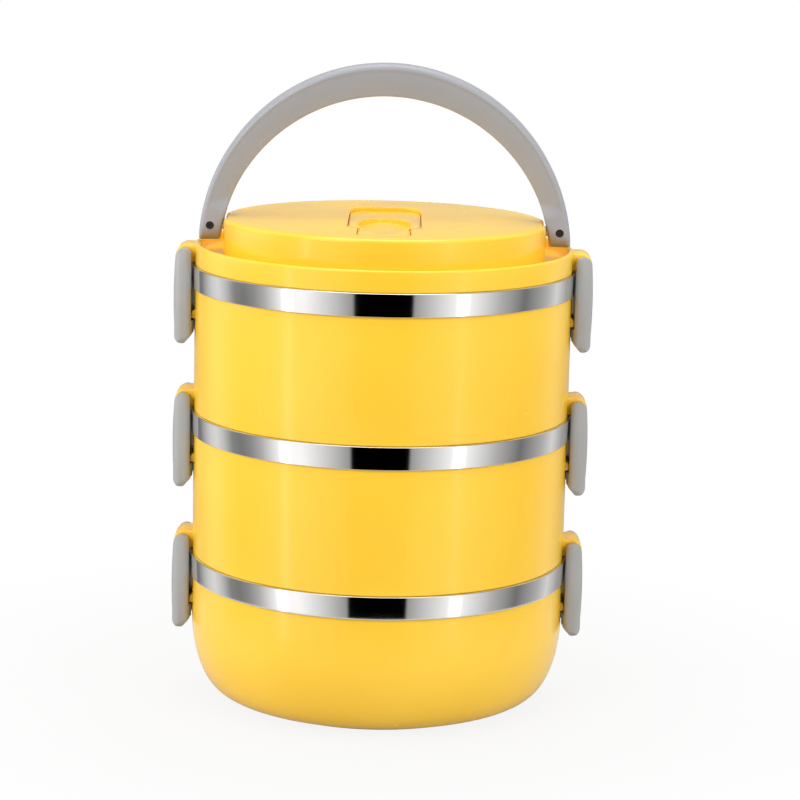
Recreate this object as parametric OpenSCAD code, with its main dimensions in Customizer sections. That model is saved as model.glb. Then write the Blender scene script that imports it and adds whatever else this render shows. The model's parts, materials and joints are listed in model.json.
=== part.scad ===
// Stacked food carrier: a base bowl, two tiers and a lid, clipped together and carried by an arch handle.
// The axis of the stack is Z. The foot stands on Z = 0, the latches lie on +X and -X.

/* [Stack] */
// Outer radius of the steel bands
band_r = 75; // [68:0.5:90]
// Height of a steel band
band_h = 8.8; // [7:0.1:11]
// Height of the base bowl, from the foot to its rim
base_h = 58.1; // [52:0.1:80]
// Height that each upper tier adds
tier_h = 57.3; // [48:0.1:80]
// Step from a steel band in to the shell's wall
band_step = 1; // [0.9:0.1:1.4]
// Thickness of the plastic shells
wall = 2.2; // [1.8:0.1:2.6]
// Thickness of the steel sheet
sheet = 0.6; // [0.4:0.05:0.7]
// Air gap between a steel bowl and its shell
air_gap = 1.4; // [1:0.1:2.5]

/* [Base bowl] */
// Height at which the wall starts to curve in
base_curve_z = 32.6; // [30:0.1:34]
// Distance that the curve runs in, from the wall to the bottom
base_curve_in = 13; // [10:0.5:22]
// Height of the foot ring
foot_h = 2.7; // [2:0.1:4]
// Outer radius of the foot ring
foot_r = 55; // [48:0.5:56]
// Width of the foot ring
foot_w = 4; // [3:0.5:8]
// Corner radius of the base bowl's steel liner
base_liner_corner = 22; // [18:1:28]

/* [Nesting] */
// Depth that a tier or the lid reaches into the bowl below
plug_h = 4; // [3:0.1:5]
// Radial gap between a plug and the bowl's steel wall, filled by the gasket
plug_gap = 3.8; // [3:0.1:5]
// Corner radius of an upper tier's steel liner
tier_liner_corner = 18; // [16:1:26]
// Height of a gasket's cross-section
gasket_h = 2.6; // [1.8:0.1:2.8]

/* [Lid] */
// Height of the lid's flange with its rounded rim
flange_h = 8.3; // [7.8:0.1:9]
// Width of the flange's rim
rim_w = 2; // [1.6:0.1:2.4]
// Height of the groove's floor above the lid's seam
groove_z = 4; // [3.6:0.1:5]
// Radius of the raised centre
plateau_r = 63.3; // [58:0.1:64]
// Height of the raised centre's edge above the lid's seam
plateau_h = 18.3; // [17.8:0.1:20]
// Rise of the dome from that edge to the centre
dome_rise = 1.7; // [1:0.1:2.5]

/* [Vent] */
// Width of the vent lever
lever_w = 26.2; // [22:0.1:28]
// Width of the lever's front tab
tab_w = 18.4; // [15:0.1:20]
// Place of the lever's rear end, from the stack's axis
lever_rear = 24; // [20:0.5:28]
// Place of the shoulder where the tab starts
lever_shoulder = -33; // [-38:0.5:-28]
// Place of the lever's front end
lever_front = -50; // [-52:0.5:-44]
// Thickness of the lever
lever_t = 3; // [2.6:0.1:3.4]
// Gap round the lever in its pocket
lever_gap = 0.6; // [0.4:0.05:1]
// Depth of the oval finger dish in the lever
dish_depth = 1.9; // [1:0.1:2.1]
// Radius of the lever's hinge pin
lever_pin_r = 1; // [0.8:0.05:1.2]

/* [Handle] */
// Height of the handle's pivots above the lid's seam
pivot_h = 14.9; // [14.4:0.1:15.2]
// Radius of the handle's outer arc
arch_outer_r = 72.7; // [72:0.1:76]
// Height of the outer arc's centre above the lid's seam
arch_outer_z = 6.2; // [4:0.1:10]
// Radius of the handle's inner arc
arch_inner_r = 65; // [64:0.1:66]
// Height of the inner arc's centre above the lid's seam
arch_inner_z = 1.3; // [0:0.1:3]
// Depth of the handle from front to back
handle_d = 12.2; // [11:0.1:12.4]
// Depth of the handle along its thin inner edge
handle_edge_d = 5.6; // [4:0.1:8]
// Height above the pivots at which the sloping faces start
slope_start = 9; // [8:0.5:14]
// Depth of the recess in the raised centre behind each handle pad
recess_d = 2.1; // [1.9:0.1:2.6]
// Radius of the handle's pivot pins
handle_pin_r = 2; // [1.6:0.1:2.2]
// Radius of the hole over each retaining screw
screw_hole_r = 1.6; // [1.4:0.1:2]

/* [Latches] */
// Width of a latch
latch_w = 26; // [22:0.5:30]
// Width of the ear between a latch's cheeks
ear_w = 14; // [10:0.5:16]
// Distance from the bands out to the latch pins
latch_out = 2.7; // [2.6:0.05:3.2]
// Height of the latch pins above the seam
latch_up = 2.9; // [2.8:0.1:3.4]
// Radius of a latch's rounded top
latch_top_r = 3.4; // [3.2:0.1:3.6]
// Distance from the latch pin down to the tip
latch_drop = 34; // [32:0.5:38]
// Radius of a latch hinge pin
latch_pin_r = 1; // [0.8:0.05:1.2]
// Height of a catch lug
lug_h = 3.7; // [3:0.1:5]
// Distance from the seam down to a lug's catch face
lug_drop = 21.2; // [19:0.1:23]
// Distance that a lug stands out from the band's radius
lug_out = 0.3; // [0.2:0.05:0.5]
// Distance that a hook reaches under its lug
hook_reach = 0.9; // [0.6:0.05:1.1]
// Free height between a hook and its lug
hook_gap = 0.9; // [0.8:0.05:1.4]

/* [Hidden] */
$fn = 96;

yellow = [0.98, 0.79, 0.25];
grey = [0.64, 0.62, 0.6];
steel = [0.8, 0.8, 0.8];
silicone = [0.9, 0.9, 0.86];

// clearances
free_gap = 0.3;     // between surfaces that move past each other
run_gap = 0.05;     // between a pin and the piece that turns on it
seat_gap = 0.02;    // between a pin and the piece that holds it
pin_seat = 3.6;     // length of a pin in each cheek or wall
latch_clear = 0.4;  // between a latch and the lug behind it
far = 200;          // longer than any piece that it cuts

// stack
body_r = band_r - band_step;
bowl_r = body_r - wall - air_gap;
bowl_in_r = bowl_r - sheet;
plug_r = bowl_in_r - plug_gap;
middle_z = base_h;
top_z = middle_z + tier_h;
lid_z = top_z + tier_h;
edge = 0.5;         // small chamfer on a moulded edge
liner_lift = 0.3;   // free height under an upper tier's liner

// lid
pocket_drop = 3;    // from the lever's hinge axis down to the pocket's floor
tray_wall = 1.8;
lever_axis_r = 2.5; // radius of the lever's rounded rear end
lever_axis_y = lever_rear - lever_axis_r;
lever_axis_z = dome_z(lever_axis_y) - lever_axis_r;
lever_under_z = dome_z(0) - lever_t;
pocket_z = lever_axis_z - pocket_drop;
tray_z = pocket_z - tray_wall;
scoop = 5;          // room for a fingertip in front of the tab
lever_corner = 4;
tab_corner = 3;
vent_y = -6;        // place of the steam hole
vent_r = 3.2;

// handle
handle_z = lid_z + pivot_h;
pad_in = sqrt(pow(arch_inner_r, 2) - pow(pivot_h - arch_inner_z, 2));
recess_x = plateau_r - recess_d;
recess_w = handle_d + 6.8;
boss_r = plateau_h - pivot_h - 0.2;
boss_end = sqrt(pow(arch_inner_r, 2) - pow(pivot_h + boss_r - arch_inner_z, 2)) - free_gap - 0.1;
pad_r = handle_d / 2;
pad_mid = (pad_in + arch_outer_r) / 2;
handle_pin_in = plateau_r - 6;
handle_pin_out = pad_mid + 2.6;
screw_r = 1;
neck_r = 1;         // radius of the pin inside its groove
neck_w = 2.6;
head_h = 1.4;
head_sink = 0.7;

// latches
pin_x = band_r + latch_out;
lug_r = band_r + lug_out;
latch_in_r = lug_r + latch_clear;
hook_r = lug_r - hook_reach;
hook_top = lug_drop + hook_gap;
hook_h = 2.5;
lug_w = 20;
cheek_gap = 0.4;
slot_drop = 5.2;    // from the latch pin down to the slot's end
ear_top = 7.3;
ear_out = 3.8;      // from the latch pin out to the ear's face
ear_corner = 4.2;
tip_r = 3;
bulge = 0.7;        // how far the latch's face swells out

// height of the lid's top above its seam, at a distance from the axis
function dome_z(r) = plateau_h + dome_rise * (1 - pow(r / plateau_r, 2));

// points along an arc in the plane of a profile, from one angle to another
function arc(x, y, r, from, to, steps = 8) =
    [for (i = [0:steps]) [x + r * cos(from + (to - from) * i / steps), y + r * sin(from + (to - from) * i / steps)]];

// the wall's curve in the base bowl, moved in by a thickness
function base_curve(inset, steps = 14) =
    [for (i = [steps:-1:0]) [
        body_r - base_curve_in + (base_curve_in - inset) * cos(90 * i / steps),
        base_curve_z - (base_curve_z - foot_h - inset) * sin(90 * i / steps)]];

// one half of the vent lever's outline, from its front end to its rear end, made larger by a margin
function lever_side(grow, front) = concat(
    arc(tab_w / 2 - tab_corner, front + tab_corner, tab_corner + grow, -90, 0, 5),
    [[tab_w / 2 + grow, lever_shoulder - 4], [lever_w / 2 + grow, lever_shoulder]],
    arc(lever_w / 2 - lever_corner, lever_rear - lever_corner, lever_corner + grow, 0, 90, 8));

function mirrored(points) = [for (i = [len(points) - 1:-1:0]) [-points[i][0], points[i][1]]];

module lever_outline(grow = 0, front = lever_front) {
    side = lever_side(grow, front);
    polygon(concat(side, mirrored(side)));
}

module revolve() {
    rotate_extrude($fn = 180) children();
}

// a block along X, from one distance to another, at both ends of the stack's width or at one of them
module on_side(side) {
    if (side > 0) children();
    else mirror([1, 0, 0]) children();
}

// ---- steel bowls ----

// a drawn bowl whose rim turns out over the shell and down as the band
module liner(floor_z, height, corner) {
    seat = height - sheet;
    color(steel)
    revolve()
    polygon(concat(
        [[0, floor_z]],
        arc(bowl_r - corner, floor_z + corner, corner, -90, 0, 12),
        [[bowl_r, seat], [band_r - sheet, seat], [band_r - sheet, height - band_h], [band_r, height - band_h]],
        arc(band_r - 1, height - 1, 1, 0, 90, 6),
        arc(bowl_in_r + sheet, height - sheet, sheet, 90, 180, 4),
        arc(bowl_r - corner, floor_z + corner, corner - sheet, 0, -90, 12),
        [[0, floor_z + sheet]]));
}

module base_liner() {
    liner(foot_h + wall + sheet + 0.4, base_h, base_liner_corner);
}

module tier_liner() {
    liner(wall - plug_h + liner_lift, tier_h, tier_liner_corner);
}

module middle_liner() {
    translate([0, 0, middle_z]) tier_liner();
}

module top_liner() {
    translate([0, 0, top_z]) tier_liner();
}

// ---- plastic shells ----

// the lugs that the latches of the tier above catch under; z is the seam above them
module lugs(z) {
    intersection() {
        translate([0, 0, z - lug_drop])
        revolve()
        polygon([[body_r - 1, 0], [lug_r, 0], [lug_r, lug_h - 1.3], [body_r, lug_h], [body_r - 1, lug_h]]);
        cube([far, lug_w, far * 2], center = true);
    }
}

// the knuckle that a latch hangs on; the seam is at z = 0
module ear() {
    rotate([90, 0, 0])
    linear_extrude(height = ear_w, center = true)
    polygon(concat(
        [[body_r - 1.2, ear_top]],
        arc(pin_x + ear_out - ear_corner, ear_top - ear_corner, ear_corner, 90, 0, 8),
        arc(pin_x, latch_up, latch_top_r + 0.2, -20, -120, 8),
        [[band_r + 0.5, free_gap], [body_r - 1.2, free_gap]]));
}

module ears() {
    for (side = [-1, 1]) on_side(side) ear();
}

module pin_bores() {
    for (side = [-1, 1])
        translate([side * pin_x, 0, latch_up])
        rotate([90, 0, 0])
        cylinder(r = latch_pin_r + seat_gap, h = ear_w + 4, center = true);
}

module base_shell() {
    color(yellow)
    union() {
        revolve()
        polygon(concat(
            [[0, foot_h - 1], [foot_r - foot_w, foot_h - 1], [foot_r - foot_w, 0], [foot_r - edge, 0],
             [foot_r, edge], [foot_r, foot_h]],
            base_curve(0),
            [[body_r, base_h - sheet], [body_r - wall, base_h - sheet]],
            [for (i = [14:-1:0]) base_curve(wall)[i]],
            [[0, foot_h + wall]]));
        lugs(base_h);
    }
}

// an upper tier's shell; its stepped bottom seats on the rim below and closes the bowl below
module tier_shell() {
    color(yellow)
    difference() {
        union() {
            revolve()
            polygon([[0, -plug_h], [plug_r - 1, -plug_h], [plug_r, 1 - plug_h], [plug_r, 0],
                [body_r - edge, 0], [body_r, edge], [body_r, tier_h - sheet],
                [body_r - wall, tier_h - sheet], [body_r - wall, wall], [plug_r - wall, wall],
                [plug_r - wall, wall - plug_h], [0, wall - plug_h]]);
            ears();
            lugs(tier_h);
        }
        pin_bores();
    }
}

module middle_shell() {
    translate([0, 0, middle_z]) tier_shell();
}

module top_shell() {
    translate([0, 0, top_z]) tier_shell();
}

// a silicone ring round a plug, with a lip towards the bowl's wall
module gasket() {
    outer = bowl_in_r - free_gap;
    color(silicone)
    revolve()
    polygon([[plug_r + seat_gap, 0], [plug_r + seat_gap, -gasket_h], [plug_r + 1.6, -gasket_h],
        [outer, -gasket_h + 1.1], [outer, -0.9], [outer - 1, 0]]);
}

module middle_gasket() {
    translate([0, 0, middle_z]) gasket();
}

module top_gasket() {
    translate([0, 0, top_z]) gasket();
}

module lid_gasket() {
    translate([0, 0, lid_z]) gasket();
}

// ---- lid ----

// the closed solid under the lid's domed top, which also gives the lever its crown
module dome_solid(drop = 0) {
    revolve()
    polygon(concat([[0, 0], [plateau_r, 0]],
        arc(plateau_r - 1.2, plateau_h - 1.2 - drop, 1.2, 0, 75, 5),
        [for (i = [9:-1:0]) [(plateau_r - 2) * i / 10, dome_z((plateau_r - 2) * i / 10) - drop]]));
}

module handle_pin_bores() {
    for (side = [-1, 1])
        translate([side * (handle_pin_in - 1), 0, pivot_h])
        rotate([0, side * 90, 0])
        cylinder(r = handle_pin_r + seat_gap, h = 12);
}

// the space that the handle's pads turn in, which a deep handle needs in the rim too
module pad_sweep() {
    for (side = [-1, 1]) on_side(side)
        translate([plateau_r + free_gap, 0, pivot_h])
        rotate([0, 90, 0])
        cylinder(r = pad_r + free_gap, h = arch_outer_r - plateau_r);
}

module lid_cover() {
    translate([0, 0, lid_z])
    color(yellow)
    difference() {
        union() {
            // flange, groove and rim
            revolve()
            polygon(concat(
                [[body_r - wall, 0], [body_r - edge, 0], [body_r, edge]],
                arc(body_r - rim_w / 2, flange_h - rim_w / 2, rim_w / 2, 0, 180, 10),
                [[body_r - rim_w, groove_z], [plateau_r - 1, groove_z], [plateau_r - 1, wall - 0.2],
                 [body_r - wall, wall - 0.2]]));
            // raised centre, hollow underneath
            difference() {
                dome_solid();
                translate([0, 0, -1]) cylinder(r = plateau_r - wall, h = plateau_h - wall + 1);
                translate([0, 0, -1]) cylinder(r = plateau_r + 1, h = wall + 0.8);
            }
            // tray under the vent lever
            translate([0, 0, tray_z])
            linear_extrude(height = plateau_h - tray_z - 1)
            lever_outline(lever_gap + tray_wall, lever_front - scoop);
            // walls behind the handle's recesses
            for (side = [-1, 1]) on_side(side)
                translate([recess_x - wall, -recess_w / 2 - wall, wall])
                cube([recess_d + 0.4, recess_w + 2 * wall, plateau_h - wall - 1.2]);
            ears();
        }
        // recesses that the handle's legs swing in
        for (side = [-1, 1]) on_side(side)
            translate([recess_x, -recess_w / 2, groove_z])
            cube([recess_d + 0.5, recess_w, far]);
        translate([0, 0, pocket_z])
        linear_extrude(height = far)
        lever_outline(lever_gap, lever_front - scoop);
        translate([0, vent_y, 0]) cylinder(r = vent_r, h = far);
        translate([0, lever_axis_y, lever_axis_z])
        rotate([0, 90, 0])
        cylinder(r = lever_pin_r + seat_gap, h = lever_w + 2 * lever_gap + 2 * tray_wall - 0.8, center = true);
        handle_pin_bores();
        pin_bores();
        pad_sweep();
    }
    // bosses that stand out round the handle's pins
    translate([0, 0, lid_z])
    color(yellow)
    for (side = [-1, 1])
        translate([side * recess_x, 0, pivot_h])
        rotate([0, side * 90, 0])
        difference() {
            translate([0, 0, -1]) cylinder(r = boss_r, h = boss_end - recess_x + 1);
            translate([0, 0, -2]) cylinder(r = handle_pin_r + seat_gap, h = 20);
        }
}

// the lid's underside, a plate with a plug like those of the tiers
module lid_inner() {
    translate([0, 0, lid_z])
    color(yellow)
    difference() {
        revolve()
        polygon([[0, -plug_h], [plug_r - 1, -plug_h], [plug_r, 1 - plug_h], [plug_r, 0],
            [body_r - wall - 0.2, 0], [body_r - wall - 0.2, wall - 0.2], [plug_r - wall, wall - 0.2],
            [plug_r - wall, wall - plug_h], [0, wall - plug_h]]);
        translate([0, vent_y, -plug_h - 1]) cylinder(r = vent_r, h = 10);
    }
}

// ---- vent ----

module vent_lever() {
    translate([0, 0, lid_z])
    color(yellow)
    difference() {
        intersection() {
            dome_solid(0.05);
            translate([0, 0, lever_axis_z - lever_axis_r]) linear_extrude(height = 10) lever_outline();
            // side view: a plate whose rear end is rounded about the hinge axis
            rotate([90, 0, 90])
            linear_extrude(height = lever_w + 4, center = true)
            polygon(concat(
                [[lever_front - 1, dome_z(0) + 1], [lever_front - 1, lever_under_z],
                 [lever_axis_y - 4, lever_under_z]],
                arc(lever_axis_y, lever_axis_z, lever_axis_r, -120, 60, 12),
                [[lever_axis_y, dome_z(0) + 1]]));
        }
        // finger dish
        translate([0, 0, dome_z(22) - dish_depth])
        linear_extrude(height = 10)
        polygon(concat(arc(0, -8, tab_w / 2 - 0.4, 0, 180, 16), arc(0, lever_front + 12, tab_w / 2 - 1.2, 180, 360, 16)));
        translate([0, lever_axis_y, lever_axis_z])
        rotate([0, 90, 0])
        cylinder(r = lever_pin_r + run_gap, h = lever_w + 4, center = true);
    }
}

module vent_pin() {
    translate([0, lever_axis_y, lid_z + lever_axis_z])
    color(steel)
    rotate([0, 90, 0])
    cylinder(r = lever_pin_r, h = lever_w + 2 * lever_gap + 2 * tray_wall - 1, center = true);
}

// the soft plug under the lever that closes the steam hole
module vent_seal() {
    translate([0, vent_y, lid_z])
    color(silicone)
    union() {
        translate([0, 0, pocket_z + free_gap]) cylinder(r = vent_r + 1.6, h = lever_under_z - pocket_z - free_gap);
        translate([0, 0, pocket_z - 1.2]) cylinder(r = vent_r - 0.5, h = 2);
    }
}

// ---- handle ----

// the sloping front face: a cone about the arch's axis, kept above the pads
module handle_slope() {
    centre = (arch_outer_z + arch_inner_z) / 2;
    inner = arch_inner_r - (arch_outer_z - arch_inner_z);
    outer = arch_outer_r - 2.4;
    translate([0, 0, lid_z])
    intersection() {
        translate([0, 0, centre])
        rotate([90, 0, 0])
        rotate_extrude($fn = 180)
        polygon([[inner - 8, handle_edge_d / 2 - 1.5], [inner, handle_edge_d / 2], [outer, pad_r], [outer, pad_r + 6],
            [inner - 8, pad_r + 6]]);
        translate([-far, -far, pivot_h + slope_start]) cube([far * 2, far * 2, far]);
    }
}

module handle() {
    color(grey)
    difference() {
        intersection() {
            translate([0, 0, lid_z])
            rotate([90, 0, 0])
            linear_extrude(height = handle_d + 4, center = true)
            difference() {
                translate([0, arch_outer_z]) circle(r = arch_outer_r, $fn = 180);
                translate([0, arch_inner_z]) circle(r = arch_inner_r, $fn = 180);
            }
            // side view: a strap whose ends are rounded about the pivot axis
            translate([0, 0, handle_z])
            rotate([90, 0, 90])
            linear_extrude(height = far, center = true)
            polygon(concat(arc(0, 0, pad_r, 180, 360, 16), [[pad_r, far], [-pad_r, far]]));
        }
        handle_slope();
        mirror([0, 1, 0]) handle_slope();
        for (side = [-1, 1]) on_side(side) {
            // blind bore for the pivot pin
            translate([pad_in - 1, 0, handle_z])
            rotate([0, 90, 0])
            cylinder(r = handle_pin_r + run_gap, h = handle_pin_out - pad_in + 1 + run_gap);
            // screw hole from the front, with a wider mouth for the head
            translate([pad_mid, 0, handle_z])
            rotate([90, 0, 0])
            cylinder(r = screw_r + seat_gap, h = far);
            translate([pad_mid, head_sink + head_h - pad_r, handle_z])
            rotate([90, 0, 0])
            cylinder(r = screw_hole_r, h = far);
        }
    }
}

// steel pins fixed in the lid; each has a groove that a retaining screw runs in
module handle_pins() {
    color(steel)
    for (side = [-1, 1]) on_side(side)
        translate([handle_pin_in, 0, handle_z])
        rotate([0, 90, 0])
        difference() {
            cylinder(r = handle_pin_r, h = handle_pin_out - handle_pin_in);
            translate([0, 0, pad_mid - handle_pin_in - neck_w / 2])
            difference() {
                cylinder(r = handle_pin_r + 1, h = neck_w);
                translate([0, 0, -1]) cylinder(r = neck_r, h = neck_w + 2);
            }
        }
}

module handle_screws() {
    color([0.2, 0.2, 0.2])
    for (side = [-1, 1]) on_side(side)
        translate([pad_mid, 0, handle_z])
        rotate([90, 0, 0]) {
            translate([0, 0, neck_r + run_gap]) cylinder(r = screw_r, h = pad_r - neck_r - head_sink - 0.5);
            translate([0, 0, pad_r - head_sink - head_h]) cylinder(r = screw_hole_r - 0.1, h = head_h);
        }
}

// ---- latches ----

// a latch on the +X side; the seam is at z = 0
module latch() {
    low = latch_up - latch_drop;
    color(grey)
    difference() {
        rotate([90, 0, 0])
        linear_extrude(height = latch_w, center = true)
        polygon(concat(
            arc(pin_x, latch_up, latch_top_r, 180, 10, 12),
            [for (i = [1:7]) [pin_x + latch_top_r + bulge * sin(22.5 * i), latch_up - (latch_drop - tip_r) * i / 8]],
            arc(pin_x + latch_top_r - tip_r + 0.3, low + tip_r, tip_r, 0, -110, 7),
            [[hook_r + 1.1, low + 2.4], [hook_r - 2.2, -hook_top - hook_h], [hook_r - 2.2, -hook_top + 1]],
            [[pin_x - latch_top_r - 2, -hook_top + 1], [pin_x - latch_top_r - 2, latch_up - 4]]));
        // inner face follows the bands, and steps in below the lug to leave the hook
        translate([0, 0, -hook_top]) cylinder(r = latch_in_r, h = far, $fn = 180);
        translate([0, 0, -far / 2]) cylinder(r = hook_r, h = far, $fn = 180);
        // slot for the ear
        translate([pin_x - 10, -ear_w / 2 - cheek_gap, latch_up - slot_drop])
        cube([20, ear_w + 2 * cheek_gap, far]);
        translate([pin_x, 0, latch_up])
        rotate([90, 0, 0])
        cylinder(r = latch_pin_r + run_gap, h = ear_w + 2 * cheek_gap + 2 * pin_seat, center = true);
    }
}

module latch_at(z, side) {
    translate([0, 0, z]) on_side(side) latch();
}

module latch_pins(z) {
    color(steel)
    for (side = [-1, 1])
        translate([side * pin_x, 0, z + latch_up])
        rotate([90, 0, 0])
        cylinder(r = latch_pin_r, h = ear_w + 2 * cheek_gap + 2 * pin_seat - 0.4, center = true);
}

module lid_latch_left() { latch_at(lid_z, -1); }
module lid_latch_right() { latch_at(lid_z, 1); }
module top_latch_left() { latch_at(top_z, -1); }
module top_latch_right() { latch_at(top_z, 1); }
module middle_latch_left() { latch_at(middle_z, -1); }
module middle_latch_right() { latch_at(middle_z, 1); }
module lid_latch_pins() { latch_pins(lid_z); }
module top_latch_pins() { latch_pins(top_z); }
module middle_latch_pins() { latch_pins(middle_z); }

base_shell();
base_liner();
middle_shell();
middle_liner();
middle_gasket();
top_shell();
top_liner();
top_gasket();
lid_cover();
lid_inner();
lid_gasket();
vent_lever();
vent_pin();
vent_seal();
handle();
handle_pins();
handle_screws();
lid_latch_left();
lid_latch_right();
top_latch_left();
top_latch_right();
middle_latch_left();
middle_latch_right();
lid_latch_pins();
top_latch_pins();
middle_latch_pins();
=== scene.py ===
# %% [markdown]
# # A stacked food carrier
# A base bowl, two tiers and a lid stand on each other, six latches hold them together and an
# arched handle carries them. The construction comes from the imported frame. This lesson gives
# every visible piece its finished form and its finish: turned shells and steel bowls, a moulded
# lid with a vent lever, latches, the handle and its screws.

# %% Load the frame
import json
import math

import bpy
from mathutils import Matrix, Vector

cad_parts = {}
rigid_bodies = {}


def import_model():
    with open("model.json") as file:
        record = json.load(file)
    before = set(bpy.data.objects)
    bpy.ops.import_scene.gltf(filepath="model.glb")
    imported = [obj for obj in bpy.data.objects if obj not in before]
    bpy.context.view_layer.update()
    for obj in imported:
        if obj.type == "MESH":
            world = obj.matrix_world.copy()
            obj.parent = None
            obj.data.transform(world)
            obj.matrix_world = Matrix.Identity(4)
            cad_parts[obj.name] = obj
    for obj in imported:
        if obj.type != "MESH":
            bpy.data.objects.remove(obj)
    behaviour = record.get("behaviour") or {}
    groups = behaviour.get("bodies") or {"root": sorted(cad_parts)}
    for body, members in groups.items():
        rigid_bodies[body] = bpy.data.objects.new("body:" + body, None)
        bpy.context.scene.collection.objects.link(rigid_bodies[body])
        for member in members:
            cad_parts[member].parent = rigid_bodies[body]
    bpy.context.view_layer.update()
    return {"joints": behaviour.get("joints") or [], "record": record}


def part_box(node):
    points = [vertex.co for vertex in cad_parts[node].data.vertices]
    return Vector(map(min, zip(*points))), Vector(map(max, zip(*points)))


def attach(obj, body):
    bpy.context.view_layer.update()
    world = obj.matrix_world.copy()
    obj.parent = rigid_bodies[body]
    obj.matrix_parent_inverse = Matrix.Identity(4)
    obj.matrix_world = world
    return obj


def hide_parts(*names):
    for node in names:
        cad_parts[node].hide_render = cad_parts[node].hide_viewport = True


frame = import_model()
MM = 0.001

# %% [markdown]
# ## Places that everything follows
# The seams between the tiers are the tops of the steel bowls, and the hinges are where the joints
# say. All of them are read from the frame in millimetres, so a changed frame moves the looks with
# it. The other sizes below are the ones a toolmaker would set: the wall, the sheet steel, the
# band and the gaps between a bowl, its shell and the plug above.

# %% Read the seams and the hinges
def top_of(node):
    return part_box(node)[1].z / MM


hinges = {joint["name"]: Vector(joint["pos_m"]) / MM for joint in frame["joints"] if joint["type"] == "hinge"}
SEAMS = {"middle": top_of("base_liner"), "top": top_of("middle_liner"), "lid": top_of("top_liner")}
TIER_H = SEAMS["top"] - SEAMS["middle"]
BAND_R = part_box("base_liner")[1].x / MM
BAND_STEP = 1
BODY_R = BAND_R - BAND_STEP
WALL = 2.2
SHEET = 0.6
BAND_H = 8.8
AIR_GAP = 1.4
BOWL_R = BODY_R - WALL - AIR_GAP
PLUG_H = 4
PLUG_GAP = 3.8
PLUG_R = BOWL_R - SHEET - PLUG_GAP
print("seams:", {name: round(z, 1) for name, z in SEAMS.items()}, "band radius", round(BAND_R, 1))

# %% [markdown]
# ## Hand tools
# Blender's operators work on what is selected, as a person's hands do. These helpers keep one
# object active, draw a line point by point with extrude, and apply a modifier. Each one leaves
# object mode behind, with nothing left over.

# %% Select one object, and apply a modifier to it
TOUCHING = 1e-6
FINEST = 0.003


def only(obj):
    """obj alone is selected and active, in object mode."""
    if bpy.context.object and bpy.context.object.mode != "OBJECT":
        bpy.ops.object.mode_set(mode="OBJECT")
    bpy.ops.object.select_all(action="DESELECT")
    obj.select_set(True)
    bpy.context.view_layer.objects.active = obj
    return obj


def begin(add, name, **settings):
    """Add a primitive with nothing else selected, name it and go into edit mode."""
    bpy.ops.object.select_all(action="DESELECT")
    add(**settings)
    obj = bpy.context.object
    obj.name = obj.data.name = name
    bpy.ops.object.mode_set(mode="EDIT")
    bpy.ops.mesh.select_all(action="SELECT")
    return obj


def settle(obj):
    """Close the mesh, turn its faces outwards and go back to object mode, with the object at the origin."""
    bpy.ops.mesh.select_all(action="SELECT")
    bpy.ops.mesh.remove_doubles(threshold=TOUCHING)
    bpy.ops.mesh.normals_make_consistent(inside=False)
    only(obj)
    bpy.ops.object.transform_apply(location=True, rotation=True, scale=True)
    return obj


def modify(obj, kind, **settings):
    """Add a modifier with its settings and apply it."""
    only(obj)
    modifier = obj.modifiers.new(kind.title(), kind)
    for key, value in settings.items():
        setattr(modifier, key, value)
    bpy.ops.object.modifier_apply(modifier=modifier.name)
    return obj


def cut(obj, tool, how="DIFFERENCE"):
    """Take the tool from obj, add it or keep what they share; the tool is used up."""
    modify(obj, "BOOLEAN", object=tool, operation=how, solver="EXACT")
    bpy.data.objects.remove(tool)
    return obj


def mend(obj, reach):
    """Merge the slivers that a Boolean or a bevel leaves, up to some millimetres."""
    only(obj)
    bpy.ops.object.mode_set(mode="EDIT")
    bpy.ops.mesh.select_all(action="SELECT")
    bpy.ops.mesh.remove_doubles(threshold=reach * MM)
    bpy.ops.mesh.dissolve_degenerate(threshold=reach * MM)
    return only(obj)


def soften(obj, width, segments=2, angle=40, slivers=0.02):
    """Mend the slivers unless that is 0, round the sharp edges that are left, and shade the rest smooth."""
    if slivers:
        mend(obj, slivers)
    modify(obj, "BEVEL", width=width * MM, segments=segments, limit_method="ANGLE",
           angle_limit=math.radians(angle), harden_normals=False, miter_outer="MITER_ARC")
    if slivers:
        mend(obj, FINEST)
    only(obj)
    bpy.ops.object.shade_smooth_by_angle(angle=math.radians(angle))
    return obj

# %% [markdown]
# ## Outlines
# A moulded part has a radius at each corner, so outlines are written as corners with a radius,
# and one function rounds them. A line of points then becomes a turned piece by spin, or a prism
# by filling and extruding it.

# %% Draw outlines, turn them and extrude them
def rounded(corners, steps=5):
    """A path through corners (across, up, radius) in millimetres, each corner rounded by an arc."""
    path = []
    for i, (across, up, radius) in enumerate(corners):
        here = Vector((across, up))
        if radius == 0:
            path.append(here)
            continue
        before = (Vector(corners[i - 1][:2]) - here).normalized()
        after = (Vector(corners[(i + 1) % len(corners)][:2]) - here).normalized()
        half = before.angle(after) / 2
        centre = here + (before + after).normalized() * radius / math.sin(half)
        start = here + before * radius / math.tan(half) - centre
        end = here + after * radius / math.tan(half) - centre
        first = math.atan2(start.y, start.x)
        sweep = (math.atan2(end.y, end.x) - first + math.pi) % math.tau - math.pi
        angles = [first + sweep * k / steps for k in range(steps + 1)]
        path += [centre + radius * Vector((math.cos(a), math.sin(a))) for a in angles]
    return [tuple(p) for p in path]


def closed(outline):
    """The outline with its first point again at its end."""
    return outline + outline[:1]


def arc(across, up, radius, start, end, steps=8):
    """A path on a circle about a place, from one angle in degrees to another."""
    angles = [math.radians(start + (end - start) * k / steps) for k in range(steps + 1)]
    return [(across + radius * math.cos(a), up + radius * math.sin(a)) for a in angles]


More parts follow.
